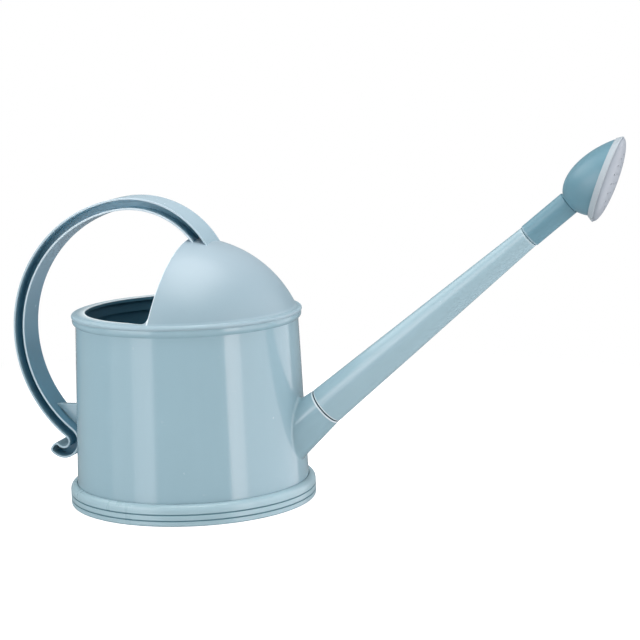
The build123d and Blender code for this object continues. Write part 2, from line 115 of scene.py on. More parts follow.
DOME_UP = Vector((-sin(DOME_TILT), 0, cos(DOME_TILT)))
DOME_CENTRE = ROSE_ORIGIN + SPOUT_WAY * 50.6 - SPOUT_UP * 11.7
DOME_AXES, DOME_WALL, DOME_POLE = (53.0, 29.7, 35.2), 2.2, 0.05
FACE_TILT = SPOUT_TILT - radians(59.4)
FACE_WAY = Vector((cos(FACE_TILT), 0, sin(FACE_TILT)))
FACE_CENTRE = ROSE_ORIGIN + SPOUT_WAY * 37.8 - SPOUT_UP * 5.85
FACE_RADIUS, FACE_BACK, FACE_RIM, FACE_LEDGE = 36.9, 33.6, 5.0, 1.3
FACE_RISE, FACE_WALL, BACK_RISE = 7.2, 2.2, 1.7
PLUG_RADIUS, PLUG_BORE, PLUG_LENGTH = 27.0, 25.2, 3.0
SPRAY_HOLE, SPRAY_PITCH, SPRAY_RINGS, SPRAY_DEPTH = 0.9, 7.8, 3, 40.0

ACROSS = Vector((0, 1, 0))
UPRIGHT = Vector((0, 0, 1))


class Moulding:
    """Points in millimetres and faces of one piece, gathered shell by shell."""

    def __init__(self):
        self.points = []
        self.faces = []

    def add(self, points):
        """Takes points in and gives the numbers that they get."""
        first = len(self.points)
        self.points.extend(points)
        return range(first, first + len(points))

    def shell(self, rows, closed=True, ringed=True):
        """Faces between rows of points; a row of one point is a pole."""
        rows = [self.add(row) for row in rows]
        pairs = list(zip(rows, rows[1:]))
        if closed:
            pairs.append((rows[-1], rows[0]))
        for low, high in pairs:
            count = max(len(low), len(high))
            for i in range(count if ringed else count - 1):
                j = (i + 1) % count
                if len(low) == 1:
                    self.faces.append((low[0], high[j], high[i]))
                elif len(high) == 1:
                    self.faces.append((low[i], low[j], high[0]))
                else:
                    self.faces.append((low[i], low[j], high[j], high[i]))
        return rows

    def turned(self, profile, origin=Vector((0, 0, 0)), way=UPRIGHT, closed=True, steps=TURN):
        """A profile of (radius, height) points turned round an axis."""
        side = ACROSS if abs(way.z) < 0.999 else Vector((1, 0, 0))
        over = way.cross(side)
        rows = []
        for radius, height in profile:
            middle = origin + way * height
            if radius < 1e-6:
                rows.append([middle])
                continue
            angles = [2 * pi * i / steps for i in range(steps)]
            rows.append([middle + (side * cos(a) + over * sin(a)) * radius for a in angles])
        return self.shell(rows, closed=closed)

    def slab(self, outline, low, high, edge):
        """An outline in X and Z, given a thickness across and small rounded edges."""
        middle = sum((Vector(p) for p in outline), Vector((0, 0))) / len(outline)
        inner = [Vector(p) + (middle - Vector(p)).normalized() * edge for p in outline]
        rows = []
        for ring, y in ((inner, low), (outline, low + edge), (outline, high - edge), (inner, high)):
            rows.append([Vector((p[0], y, p[1])) for p in ring])
        placed = self.shell(rows, closed=False)
        self.faces.append(tuple(placed[0]))
        self.faces.append(tuple(placed[-1]))

    def piece(self, name, sharp=40):
        """The gathered faces as an object in metres, shaded smooth between its sharp edges."""
        mesh = bpy.data.meshes.new(name)
        mesh.from_pydata([p * MM for p in self.points], [], self.faces)
        work = bmesh.new()
        work.from_mesh(mesh)
        bmesh.ops.remove_doubles(work, verts=work.verts, dist=1e-7)
        bmesh.ops.recalc_face_normals(work, faces=work.faces)
        work.to_mesh(mesh)
        work.free()
        return show(name, mesh, sharp)


def shade(name, mesh, sharp):
    """Names a mesh and shades it smooth between its sharp edges."""
    mesh.name = name
    mesh.shade_smooth()
    mesh.set_sharp_from_angle(angle=radians(sharp))


def show(name, mesh, sharp):
    """A shaded mesh as an object of the scene."""
    shade(name, mesh, sharp)
    made = bpy.data.objects.new(name, mesh)
    bpy.context.scene.collection.objects.link(made)
    return made


def settle(made, sharp=40):
    """Turns an object's modifiers into plain mesh."""
    bpy.context.view_layer.update()
    graph = bpy.context.evaluated_depsgraph_get()
    mesh = bpy.data.meshes.new_from_object(made.evaluated_get(graph), depsgraph=graph)
    made.modifiers.clear()
    shade(made.name, mesh, sharp)
    made.data = mesh
    return made


def rounded(corners, steps=5):
    """Points through (x, y, radius) corners, with a short straight beside each round."""
    points = []
    for i, (x, y, radius) in enumerate(corners):
        here = Vector((x, y))
        if radius == 0:
            points.append(here)
            continue
        back = (Vector(corners[i - 1][:2]) - here).normalized()
        on = (Vector(corners[(i + 1) % len(corners)][:2]) - here).normalized()
        turn = pi - back.angle(on)
        reach, shoulder = radius * tan(turn / 2), min(radius * 0.2, 0.3)
        centre = here + (back + on).normalized() * (radius / cos(turn / 2))
        start = here + back * reach - centre
        way = 1 if back.cross(on) < 0 else -1
        points.append(here + back * (reach + shoulder))
        for k in range(steps + 1):
            points.append(centre + Matrix.Rotation(way * turn * k / steps, 2) @ start)
        points.append(here + on * (reach + shoulder))
    return points


def arc(centre, radius, start, end, steps):
    """Points of an arc from one angle to another, with both ends."""
    angles = [start + (end - start) * k / steps for k in range(steps + 1)]
    return [centre + Vector((cos(angle), sin(angle))) * radius for angle in angles]


def arc_through(start, crest, end, steps):
    """Points of the arc through three points, without its ends."""
    a, b, c = Vector(start), Vector(crest), Vector(end)
    d = 2 * (a.x * (b.y - c.y) + b.x * (c.y - a.y) + c.x * (a.y - b.y))
    u = (a.dot(a) * (b.y - c.y) + b.dot(b) * (c.y - a.y) + c.dot(c) * (a.y - b.y)) / d
    v = (a.dot(a) * (c.x - b.x) + b.dot(b) * (a.x - c.x) + c.dot(c) * (b.x - a.x)) / d
    centre = Vector((u, v))
    first, last = (atan2(p.y - v, p.x - u) for p in (a, c))
    return arc(centre, (a - centre).length, first, last, steps)[1:-1]


def along(start, end, steps):
    """Points between two points, without those two."""
    return [Vector(start).lerp(Vector(end), k / steps) for k in range(1, steps)]


def over_sphere(start, end, centre, steps):
    """Points on a sphere from one point to another, with both ends."""
    a, b = start - centre, end - centre
    radius = a.length
    return [centre + a.normalized().slerp(b.normalized(), k / steps) * radius for k in range(steps + 1)]


def bend_round(corner, start, end, steps):
    """Points that round a corner from one point to another, without the corner."""
    points = []
    for k in range(steps + 1):
        t = k / steps
        points.append(start * (1 - t) ** 2 + corner * (2 * t * (1 - t)) + end * t**2)
    return points


def make_base():
    """Base cap: stand ring, three bands, floor and the channel for the wall."""
    side = FLANGE_RADIUS
    corners = [(0, 0, 0), (PAD_RADIUS, 0, 0.8), (PAD_RADIUS, RECESS_Z, 0.5)]
    corners += [(STAND_INNER, RECESS_Z, 0.8), (STAND_INNER, 0, 0.8), (side, 0, 1.4)]
    for z in BANDS:
        corners += [(side, z - GROOVE_WIDTH / 2, 0.5), (side - GROOVE_DEPTH, z, 0.15)]
        corners += [(side, z + GROOVE_WIDTH / 2, 0.5)]
    upstand = wall_radius(UPSTAND_TOP) - WALL - PLAY
    corners += [(side, FLANGE_HEIGHT, FLANGE_ROUND), (CHANNEL_OUTER, FLANGE_HEIGHT, 0.1)]
    corners += [(CHANNEL_OUTER, FLOOR_Z, 0), (upstand, FLOOR_Z, 0), (upstand, UPSTAND_TOP, 0.4)]
    corners += [(upstand - UPSTAND_WALL, UPSTAND_TOP, 0.4), (upstand - UPSTAND_WALL, FLOOR_Z, 0.8)]
    corners += [(0, FLOOR_Z, 0)]
    base = Moulding()
    base.turned(rounded(corners), closed=False)
    return base.piece("base_ring")


def stub_radius(s):
    """Outer radius of the spout's stub, by the place along the spout."""
    return TUBE_FOOT + STUB_FLARE / STUB_LENGTH * (STUB_LENGTH - s)


def wall_gap(point, inset=0.0):
    """How far a point stands outside the tank's wall."""
    return sqrt(point.x**2 + point.y**2) - wall_radius(point.z) + inset


def where_it_meets(line, low, high, gap):
    """Place along a line where its gap to a surface, below zero at its start, comes to zero."""
    for _ in range(40):
        middle = (low + high) / 2
        if gap(line(middle)) < 0:
            low = middle
        else:
            high = middle
    return (low + high) / 2


def on_wall(point, sunk):
    """A point moved level onto the wall's surface, a little below it."""
    level = Vector((point.x, point.y, 0)).normalized() * (wall_radius(point.z) - sunk)
    return Vector((level.x, level.y, point.z))


def stub_rows():
    """Rings of the spout's stub: fillet on the wall, flared outside, chamfered end and bore."""
    outside = []
    for i in range(TURN):
        angle = 2 * pi * i / TURN
        ray = ACROSS * cos(angle) + SPOUT_WAY.cross(ACROSS) * sin(angle)

        def skin(s):
            return SPOUT_ROOT + SPOUT_WAY * s + ray * stub_radius(s)

        def bore(s):
            return SPOUT_ROOT + SPOUT_WAY * s + ray * STUB_BORE

        foot = where_it_meets(skin, SKIN_START, STUB_LENGTH, wall_gap)
        corner = skin(foot)
        up = (skin(foot + 1) - corner).normalized()
        normal = Vector((corner.x, corner.y, wall_radius(corner.z) * DRAFT)).normalized()
        away = (ray - normal * ray.dot(normal)).normalized()
        reach = STUB_FILLET / tan(up.angle(away) / 2)
        reach = min(max(reach, FILLET_LEAST), FILLET_MOST)
        landing = on_wall(corner + away * reach, 0.04)
        fillet = bend_round(corner, landing, corner + up * reach, 7)
        chamfer = [skin(STUB_LENGTH - back) - ray * inset for back, inset in STUB_CHAMFER]
        inner = where_it_meets(bore, BORE_START, STUB_LENGTH, lambda p: wall_gap(p, WALL + 0.2))
        column = [on_wall(landing, 0.8)] + fillet
        column += along(corner + up * reach, chamfer[0], 8) + chamfer
        mouth = bore(STUB_LENGTH - BORE_CHAMFER)
        column += [bore(STUB_LENGTH) + ray * BORE_CHAMFER, mouth]
        column += along(mouth, bore(inner), 3) + [bore(inner)]
        outside.append(column)
    return [list(ring) for ring in zip(*outside)]


def make_tank():
    """Tank: drafted wall with its rim bead, the spout's stub and the rib behind."""
    wall = Moulding()
    bead_start, bead_crest = (wall_radius(BEAD_Z), BEAD_Z), (RIM_RADIUS, TANK_CREST_Z)
    bead = arc_through(bead_start, bead_crest, (JOINT_RADIUS, RIM_Z), 12)
    foot, neck = (FOOT_RADIUS, FLOOR_Z), (wall_radius(BEAD_Z - 0.8), BEAD_Z - 0.8)
    inner_foot = Vector((FOOT_RADIUS - WALL, FLOOR_Z))
    profile = [Vector(foot)] + along(foot, neck, 20) + [Vector(neck)]
    profile += [Vector((wall_radius(BEAD_Z - 0.3) + 0.03, BEAD_Z - 0.3))] + bead[1:]
    profile += [Vector((JOINT_RADIUS, RIM_Z)), Vector((wall_radius(RIM_Z) - WALL, RIM_Z))]
    profile += along(profile[-1], inner_foot, 12) + [inner_foot]
    wall.turned(profile, steps=2 * TURN)
    tank = wall.piece("tank_wall")
    drill = Moulding()
    rod = [(0, DRILL_LOW), (DRILL_RADIUS, DRILL_LOW), (DRILL_RADIUS, DRILL_HIGH), (0, DRILL_HIGH)]
    drill.turned(rod, SPOUT_ROOT, SPOUT_WAY, closed=False, steps=64)
    bit = drill.piece("drill")
    cut = tank.modifiers.new("bore", "BOOLEAN")
    cut.operation, cut.solver, cut.object = "DIFFERENCE", "EXACT", bit
    settle(tank)
    bpy.data.objects.remove(bit)

    grip = LARGE_BEND - STRAP_DEPTH / 2

    def by_strap(offset, z):
        """A point at a height, this far outwards from the strap's inner face."""
        return (BEND.x - sqrt((grip + offset) ** 2 - (BEND.y - z) ** 2), z)

    outline = [by_strap(-RIB_PLAY, RIB_TOP - k * RIB_STEP) for k in range(RIB_STEPS)]
    outline = [p for p in outline if -p[0] > wall_radius(p[1]) - 1.2]
    outline += [(-wall_radius(z) + RIB_SUNK, z) for z in (outline[-1][1], RIB_TOP)]
    prong = [by_strap(PRONG_REACH, z) for z in PRONG_HEIGHTS]
    prong += [by_strap(-PRONG_ROOT, z) for z in reversed(PRONG_HEIGHTS)]
    extras = Moulding()
    extras.shell(stub_rows())
    extras.slab(outline, -RIB_HALF, RIB_HALF, 0.5)
    for low, high in ((-RIB_HALF, -PRONG_GAP), (PRONG_GAP, RIB_HALF)):
        extras.slab(prong, low, high, 0.2)
    added = extras.piece("stub_and_rib")
    with bpy.context.temp_override(active_object=tank, selected_editable_objects=[tank, added]):
        bpy.ops.object.join()
    return tank


def arch_line():
    """Side view of the cut that opens the cover, from above the crown down to the lip."""
    top = 70.0
    corners = [(ARCH_X + top * tan(ARCH_LEAN), LIP_Z + top, 0), (ARCH_X, LIP_Z, ARCH_CORNER)]
    return rounded(corners + [(-COVER_RADIUS, LIP_Z, 0)], steps=14)


def arch_edge(radius, widest, count):
    """The cut's edge on a sphere with an upright foot, from the crown to the lip, evenly spaced."""
    line = arch_line()
    fine = []
    for a, b in zip(line, line[1:-1]):
        steps = max(1, int((b - a).length / 0.15))
        fine += [a.lerp(b, k / steps) for k in range(steps)]
    edge = []
    for p in fine:
        square = min(radius**2 - (p.y - HOOD_CENTRE.z) ** 2, widest**2) - p.x**2
        if square >= 0:
            edge.append(Vector((p.x, sqrt(square), p.y)))
    gone = [0.0]
    for a, b in zip(edge, edge[1:]):
        gone.append(gone[-1] + (b - a).length)
    picked, at = [], 0
    for k in range(count + 1):
        goal = gone[-1] * k / count
        while gone[at] < goal and at < len(gone) - 1:
            at += 1
        picked.append(edge[at].copy())
    picked[0].y = 0.0
    return picked


def half_cover(arch_steps, lip_steps):
    """Azimuth, outer and inner edge point and share of the mouth's ring, column by column on one side."""
    outer = arch_edge(HOOD_RADIUS, HOOD_FOOT, arch_steps)
    inner = arch_edge(HOOD_RADIUS - HOOD_WALL, SKIRT_INNER, arch_steps)
    turn = atan2(outer[-1].y, outer[-1].x)
    columns = [(turn * k / arch_steps, outer[k], inner[k], 0.0) for k in range(arch_steps + 1)]
    for k in range(1, lip_steps + 1):
        ring = min(1.0, k / MOUTH_EASE)
        ring = ring * ring * (3 - 2 * ring)
        ends = []
        for edge, narrowed in ((outer[-1], 0.0), (inner[-1], SKIRT_INNER - MOUTH_RADIUS)):
            start = atan2(edge.y, edge.x)
            angle = start + (pi - start) * k / lip_steps
            reach = sqrt(edge.x**2 + edge.y**2) - narrowed * ring
            ends.append(Vector((reach * cos(angle), reach * sin(angle), edge.z)))
        columns.append((turn + (pi - turn) * k / lip_steps, ends[0], ends[1], ring))
    return columns


def make_cover():
    """Top cover: bead, land and lip round the opening, and the half hood with its rounded edge."""
    ease = COVER_EDGE
    inner_radius = HOOD_RADIUS - HOOD_WALL
    throat = HOOD_CENTRE.z + sqrt(inner_radius**2 - SKIRT_INNER**2)
    bead = arc_through((JOINT_RADIUS, RIM_Z), (COVER_RADIUS, COVER_CREST_Z), (LAND_RADIUS, LAND_Z), 14)
    low = [Vector((JOINT_RADIUS, RIM_Z))] + bead
    low += [Vector((LAND_RADIUS - 0.15, LAND_Z)), Vector((LAND_RADIUS - 0.6, LAND_Z))]
    low += [Vector((HOOD_FOOT + 0.6, LAND_Z)), Vector((HOOD_FOOT + HOOD_FILLET, LAND_Z))]
    skirt = [Vector((SKIRT_INNER, SKIRT_Z)), Vector((SKIRT_OUTER, SKIRT_Z)), Vector((SKIRT_OUTER, RIM_Z))]
    under = LIP_Z - MOUTH_DEPTH
    half = half_cover(COVER_STEPS, COVER_STEPS)
    mirrored = []
    for angle, outer, inner, share in reversed(half[1:-1]):
        flip = Vector((1, -1, 1))
        mirrored.append((2 * pi - angle, outer * flip, inner * flip, share))
    columns = []
    for angle, outer, inner, share in half + mirrored:
        ray = Vector((cos(angle), sin(angle), 0))

        def ring(p):
            return ray * p.x + UPRIGHT * p.y

        foot_z = LAND_Z + HOOD_FILLET
        foot = ray * sqrt(HOOD_RADIUS**2 - (foot_z - HOOD_CENTRE.z) ** 2) + UPRIGHT * foot_z
        corner = ring(Vector((HOOD_FOOT, LAND_Z)))
        column = [ring(p) for p in low] + bend_round(corner, ring(low[-1]), foot, 3)[1:-1]
        face = (inner - outer).normalized()
        down = over_sphere(outer, foot, HOOD_CENTRE, 400)
        start = min(down, key=lambda p: abs((p - outer).length - ease))
        column += over_sphere(foot, start, HOOD_CENTRE, 40)
        column += bend_round(outer, start, outer + face * ease, 4)[1:]
        base = ray * SKIRT_INNER + UPRIGHT * min(throat, inner.z - 1.0)
        inside = over_sphere(inner, base, HOOD_CENTRE, 200)
        stop = min(inside, key=lambda p: abs((p - inner).length - ease))
        stop = stop.lerp(inner - UPRIGHT * ease, share)
        column += bend_round(inner, inner - face * ease, stop, 4)[:-1]
        edge = sqrt(inner.x**2 + inner.y**2)
        ledge = [Vector((edge, under + LEDGE_EDGE)), Vector((edge + LEDGE_EDGE, under))]
        ledge = [ring(p) for p in ledge + [Vector((SKIRT_INNER, under))]]
        round_ring = [stop.lerp(ledge[0], k / 12) for k in range(13)]
        round_ring += [ledge[1].lerp(ledge[2], k / 11) for k in range(12)]
        plain = over_sphere(stop, base, HOOD_CENTRE, 24)
        column += [a.lerp(b, share) for a, b in zip(plain, round_ring)]
        column += [ring(p) for p in skirt]
        columns.append(column)
    cover = Moulding()
    cover.shell([list(row) for row in zip(*columns)])
    boss_z = HOOD_CENTRE.z + sqrt(inner_radius**2 - SCREW_X**2)
    boss_top, boss_foot = boss_z + BOSS_SUNK, boss_z - BOSS_LENGTH
    boss = [(BOSS_BORE, boss_top, 0), (BOSS_BORE, boss_foot, 0)]
    boss += [(BOSS_RADIUS, boss_foot, 0.5), (BOSS_RADIUS, boss_top, 0)]
    cover.turned(rounded(boss), Vector((SCREW_X, 0, 0)), steps=48)
    return cover.piece("arched_cover")


CROWN_WAY = Vector((cos(CROWN_START), sin(CROWN_START)))
FOOT_SPAN = FOOT_POINT - BEND
CROWN_SHIFT = (FOOT_SPAN.dot(FOOT_SPAN) - LARGE_BEND**2) / (2 * (FOOT_SPAN.dot(CROWN_WAY) - LARGE_BEND))
CROWN_BEND = LARGE_BEND - CROWN_SHIFT
CROWN = BEND + CROWN_WAY * CROWN_SHIFT
FLARE = (STRAP_FOOT_WIDTH - STRAP_WIDTH) / 2 / (SCREW_X - CROWN.x)


def half_width(x):
    """Half the strap's width, which grows towards its foot on the hood."""
    return STRAP_WIDTH / 2 + FLARE * max(0.0, x - CROWN.x)


def foot_angle(offset, y):
    """Where a line of the strap runs into the hood."""
    radius = CROWN_BEND + offset
    sphere = sqrt((HOOD_RADIUS - STRAP_SUNK) ** 2 - y**2)
    gap = Vector((0, HOOD_CENTRE.z)) - CROWN
    reach = gap.length
    side = (reach**2 + radius**2 - sphere**2) / (2 * reach * radius)
    return atan2(gap.y, gap.x) + acos(max(-1.0, min(1.0, side)))


def strap_line(offset, lift):
    """Side view of one line of the strap, from the hood to the start of its tip."""
    y = half_width(FOOT_POINT.x) if lift is None else lift
    crown = arc(CROWN, CROWN_BEND + offset, foot_angle(offset, y), CROWN_START, 28)
    bend = arc(BEND, LARGE_BEND + offset, CROWN_START, pi + CURL_START, 90)
    return crown[:-1] + bend[:-1] + arc(CURL, CURL_RADIUS - offset, CURL_START, CURL_END, 36)


def strap_side(offset, inset, corner, lift=None):
    """One closed-ended line round the strap: down its outer side, round the tip and back."""
    outer, inner = strap_line(offset, lift), strap_line(-offset, lift)
    way = Vector((sin(CURL_END), -cos(CURL_END)))
    out = (outer[-1] - inner[-1]).normalized()
    length = TIP_LENGTH - inset
    middle = (outer[-1] + inner[-1]) / 2
    corners = [(-offset, 0.0, 0), (-offset, length, corner), (offset, length, corner), (offset, 0.0, 0)]
    tip = [middle - out * p.x + way * p.y for p in rounded(corners, steps=6)[1:-1]]
    return outer + tip + list(reversed(inner))


# Painted shade and light on the handle: its colour darkens low in its channel and under the grip, and pales
# on top where light falls.
CHANNEL_LOW, CHANNEL_TOP = Vector((0.34, 0.58, 0.69)), Vector((1.55, 1.65, 1.65))
GRIP_LOW, GRIP_TOP = Vector((0.48, 0.66, 0.75)), Vector((1.15, 1.15, 1.2))
SHADED_SIDE, LIT_TOP = Vector((0.9, 0.9, 0.9)), Vector((1.38, 1.22, 1.2))
CHANNEL_FADE, GRIP_FADE, CROWN_FADE = (205.0, 75.0), (90.0, 140.0), (CROWN.x, 60.0)  # start and length
# How strong the painted highlight is on the outer flange's edge; the inner flange's edge gets it whole.
OUTER_CREST_HIGHLIGHT = 0.45


def faded(value, start, length):
    """0 up to a start, then rising to 1 over a length."""
    return min(1.0, max(0.0, (value - start) / length))


def make_handle():
    """Handle: one strap of I section that sweeps from the hood's crown to a scroll at the wall."""
    outside, channel = STRAP_DEPTH / 2, STRAP_DEPTH / 2 - STRAP_FLANGE
    soft, web = STRAP_EDGE, STRAP_WEB / 2

    def lifted(line, inset, side):
        return [Vector((p.x, side * (half_width(p.x) - inset), p.y)) for p in line]

    def level(line, y):
        return [Vector((p.x, y, p.y)) for p in line]

    skin = strap_side(outside, 0.0, TIP_ROUND)
    crest_out = strap_side(outside - soft, soft, TIP_ROUND - soft)
    crest_in = strap_side(channel + soft, STRAP_FLANGE - soft, SLOT_ROUND + soft)
    slot = strap_side(channel, STRAP_FLANGE, SLOT_ROUND)
    floor = strap_side(channel, STRAP_FLANGE, SLOT_ROUND, lift=web)
    mixed_floor = [a.lerp(b, 0.12) for a, b in zip(floor, slot)]
    mixed_out = [a.lerp(b, 0.3) for a, b in zip(skin, crest_out)]
    mixed_in = [a.lerp(b, 0.3) for a, b in zip(slot, crest_in)]
    lines = [(slot, 6.0), (slot, soft + 0.3), (slot, soft), (mixed_in, soft * 0.3), (crest_in, 0.0)]
    lines += [(crest_out, 0.0), (mixed_out, soft * 0.3), (skin, soft), (skin, soft + 0.3), (skin, 8.0)]
    rows = []
    for side in (1, -1):
        half = [level(floor, side * web), level(mixed_floor, side * (web + 0.3))]
        half += [lifted(line, inset, side) for line, inset in lines]
        rows += half if side == 1 else list(reversed(half))
    handle = Moulding()
    placed = handle.shell(rows, closed=False, ringed=False)
    count = len(placed[0])
    for row in (placed[0], placed[-1]):
        for i in range(count // 2 - 1):
            handle.faces.append((row[i], row[i + 1], row[count - 2 - i], row[count - 1 - i]))
    handle.faces.append(tuple(row[0] for row in placed))
    handle.faces.append(tuple(row[-1] for row in placed))
    handle.faces.append((placed[0][0], placed[-1][0], placed[-1][-1], placed[0][-1]))
    made = handle.piece("scrolled_handle", 32)
    middle = [Vector((p.x, 0, p.y)) for p in strap_line(0.0, 0.0)]
    shares = made.data.attributes
    # The 'tint' colour is painted shade low in the channel and under the grip, and painted light on the
    # strap's top.
    shares.new("tint", "FLOAT_COLOR", "POINT")
    # The 'crest' share is a painted highlight along the edges of the flanges.
    shares.new("crest", "FLOAT", "POINT")
    for vertex, colour, pale in zip(made.data.vertices, shares["tint"].data, shares["crest"].data):
        spot = Vector((vertex.co.x, 0, vertex.co.z)) / MM
        across = abs(vertex.co.y) / MM
        sunk = min((spot - p).length for p in middle) < channel + 0.6 and across < STRAP_WIDTH / 2 - 1.0
        past_crown = faded(spot.x, *CROWN_FADE)
        centre, bend = (CROWN, CROWN_BEND) if past_crown else (BEND, LARGE_BEND)
        off = (spot.xz - centre).length - bend
        if sunk:
            top = CHANNEL_TOP.lerp(CHANNEL_LOW, past_crown)
            share = CHANNEL_LOW.lerp(top, faded(spot.z, *CHANNEL_FADE))
        elif off < 0.3 - outside:
            share = GRIP_LOW.lerp(GRIP_TOP, faded(spot.z, *GRIP_FADE))
        else:
            share = SHADED_SIDE.lerp(LIT_TOP, max(0.0, (spot.z - BEND.y) / LARGE_BEND) ** 3)
        colour.color = (*share, 1.0)
        edge = OUTER_CREST_HIGHLIGHT if off > 0 else 1.0
        pale.value = edge if across > half_width(spot.x) - 0.2 else 0.0
    return made


def make_spout():
    """Spout tube: spigot with its seal groove, long cone and the tip spigot that carries the rose."""
    start, bottom, end = STUB_LENGTH - SPIGOT_LENGTH, STUB_LENGTH + SEAM, TUBE_END
    seal, tip = start + SEAL_BACK, end + TIP_SPIGOT_LENGTH
    rate = (TUBE_FOOT - TUBE_TIP) / TUBE_LENGTH
    corners = [
        (SPIGOT_BORE, start, 0.3), (SPIGOT - 1.0, start, 0.3), (SPIGOT, start + 1.0, 0.3),
        (SPIGOT, seal, 0.15), (SPIGOT_BED, seal, 0), (SPIGOT_BED, seal + SEAL_LENGTH, 0),
        (SPIGOT, seal + SEAL_LENGTH, 0.15), (SPIGOT, bottom, 0), (TUBE_FOOT - TUBE_CHAMFER, bottom, 0.2),
        (TUBE_FOOT - rate * TUBE_CHAMFER, bottom + TUBE_CHAMFER, 0.5),
        (TUBE_TIP, end, 0.35), (TIP_SPIGOT, end, 0), (TIP_SPIGOT, tip - 1.0, 0.3),
        (TIP_SPIGOT - 0.5, tip, 0.2), (TIP_BORE, tip, 0.2), (TIP_BORE, end - 6.0, 0),
        (TUBE_TIP - TUBE_WALL + rate * TUBE_EASE, end - TUBE_EASE, 0),
        (TUBE_FOOT - TUBE_WALL - rate * TUBE_EASE, bottom + TUBE_EASE, 0), (SPIGOT_BORE, bottom + 6.0, 0),
    ]
    spout = Moulding()
    spout.turned(rounded(corners), SPOUT_ROOT, SPOUT_WAY, steps=128)
    return spout.piece("spout_cone")


def dome_point(axes, back, angle):
    """A point of the dome, by its angle from the back pole and its turn about the dome's axis."""
    length, height, width = axes
    ring = DOME_UP * (height * cos(angle)) + ACROSS * (width * sin(angle))
    return DOME_CENTRE - DOME_WAY * (length * cos(back)) + ring * sin(back)


def make_rose():
    """Rose: straight neck with its bore, and the egg-shaped dome cut off behind the spray plate."""
    rose = Moulding()
    inner_axes = [a - DOME_WALL for a in DOME_AXES]
    columns = []

    def past_plate(point):
        return (point - FACE_CENTRE).dot(FACE_WAY) + FACE_RIM

    for i in range(TURN):
        angle = 2 * pi * i / TURN
        ends = []
        for axes in (DOME_AXES, inner_axes):

            def meridian(back):
                return dome_point(axes, back, angle)

            ends.append(where_it_meets(meridian, DOME_POLE, pi - DOME_POLE, past_plate))
        column = [dome_point(DOME_AXES, ends[0] * (k + 1) / 56, angle) for k in range(56)]
        column += [dome_point(inner_axes, ends[1] * (1 - k / 30), angle) for k in range(30)]
        columns.append(column)
    rows = [list(row) for row in zip(*columns)]
    poles = [[dome_point(DOME_AXES, 0, 0)], [dome_point(inner_axes, 0, 0)]]
    rose.shell([poles[0]] + rows + [poles[1]], closed=False)
    start, end = TUBE_END + SEAM, TUBE_END + NECK_LENGTH + 6.0
    seal, stop = start + SEAL_BACK, TUBE_END + NECK_STOP
    corners = [
        (NECK_BORE, start, 0.15), (NECK_RADIUS - NECK_CHAMFER, start, 0.15),
        (NECK_RADIUS, start + NECK_CHAMFER, 0.3), (NECK_RADIUS, end - 5.0, 0),
        (NECK_PLUG, end - 4.5, 0), (NECK_PLUG, end, 0), (TIP_BORE, end, 0), (TIP_BORE, stop, 0),
        (NECK_BORE, stop, 0), (NECK_BORE, seal + SEAL_LENGTH, 0),
        (NECK_BED, seal + SEAL_LENGTH, 0), (NECK_BED, seal, 0), (NECK_BORE, seal, 0),
    ]
    rose.turned(rounded(corners), SPOUT_ROOT, SPOUT_WAY, steps=128)
    return rose.piece("rose_shell_and_neck")


def spray_tree():
    """Node tree that drills rings of holes through the spray plate."""
    tree = bpy.data.node_groups.new("spray holes", "GeometryNodeTree")
    kinds = {"Plate": "Geometry", "Pitch": "Float", "Hole radius": "Float", "Depth": "Float"}
    kinds.update({"Place": "Vector", "Tilt": "Vector", "Finish": "Material"})
    sockets = {}
    for label, kind in kinds.items():
        sockets[label] = tree.interface.new_socket(label, in_out="INPUT", socket_type="NodeSocket" + kind)
    tree.interface.new_socket("Drilled plate", in_out="OUTPUT", socket_type="NodeSocketGeometry")

    def node(kind, settings=None, **links):
        made = tree.nodes.new(kind)
        for key, value in (settings or {}).items():
            setattr(made, key, value)
        for key, value in links.items():
            socket = made.inputs[key.replace("_", " ")]
            for item in value if isinstance(value, list) else [value]:
                if isinstance(item, bpy.types.NodeSocket):
                    tree.links.new(item, socket)
                else:
                    socket.default_value = item
        return made

    given = node("NodeGroupInput").outputs
    rings = [node("GeometryNodeMeshCircle", {"fill_type": "NONE"}, Vertices=3, Radius=0.0)]
    for ring in range(1, SPRAY_RINGS + 1):
        radius = node("ShaderNodeMath", {"operation": "MULTIPLY"}, Value=given["Pitch"])
        radius.inputs[1].default_value = ring
        size = {"Vertices": 6 * ring, "Radius": radius.outputs[0]}
        rings.append(node("GeometryNodeMeshCircle", {"fill_type": "NONE"}, **size))
    middle = node("GeometryNodeMergeByDistance", Geometry=rings[0].outputs[0], Distance=1e-5)
    spots = node("GeometryNodeJoinGeometry", Geometry=[ring.outputs[0] for ring in [middle] + rings[1:]])
    size = {"Vertices": 14, "Radius": given["Hole radius"], "Depth": given["Depth"]}
    bit = node("GeometryNodeMeshCylinder", {"fill_type": "NGON"}, **size)
    bits = node("GeometryNodeInstanceOnPoints", Points=spots.outputs[0], Instance=bit.outputs[0])
    solid = node("GeometryNodeRealizeInstances", Geometry=bits.outputs[0])
    quarter = node("GeometryNodeTransform", Geometry=solid.outputs[0], Rotation=(0, 0, pi / 2))
    move = {"Translation": given["Place"], "Rotation": given["Tilt"]}
    placed = node("GeometryNodeTransform", Geometry=quarter.outputs[0], **move)
    drilled = node("GeometryNodeMeshBoolean", {"operation": "DIFFERENCE", "solver": "EXACT"})
    tree.links.new(given["Plate"], drilled.inputs[0])
    tree.links.new(placed.outputs[0], drilled.inputs[1])
    plain = node("GeometryNodeRealizeInstances", Geometry=drilled.outputs[0])
    painted = node("GeometryNodeSetMaterial", Geometry=plain.outputs[0], Material=given["Finish"])
    tree.links.new(painted.outputs[0], node("NodeGroupOutput").inputs[0])
    return tree, {label: socket.identifier for label, socket in sockets.items()}


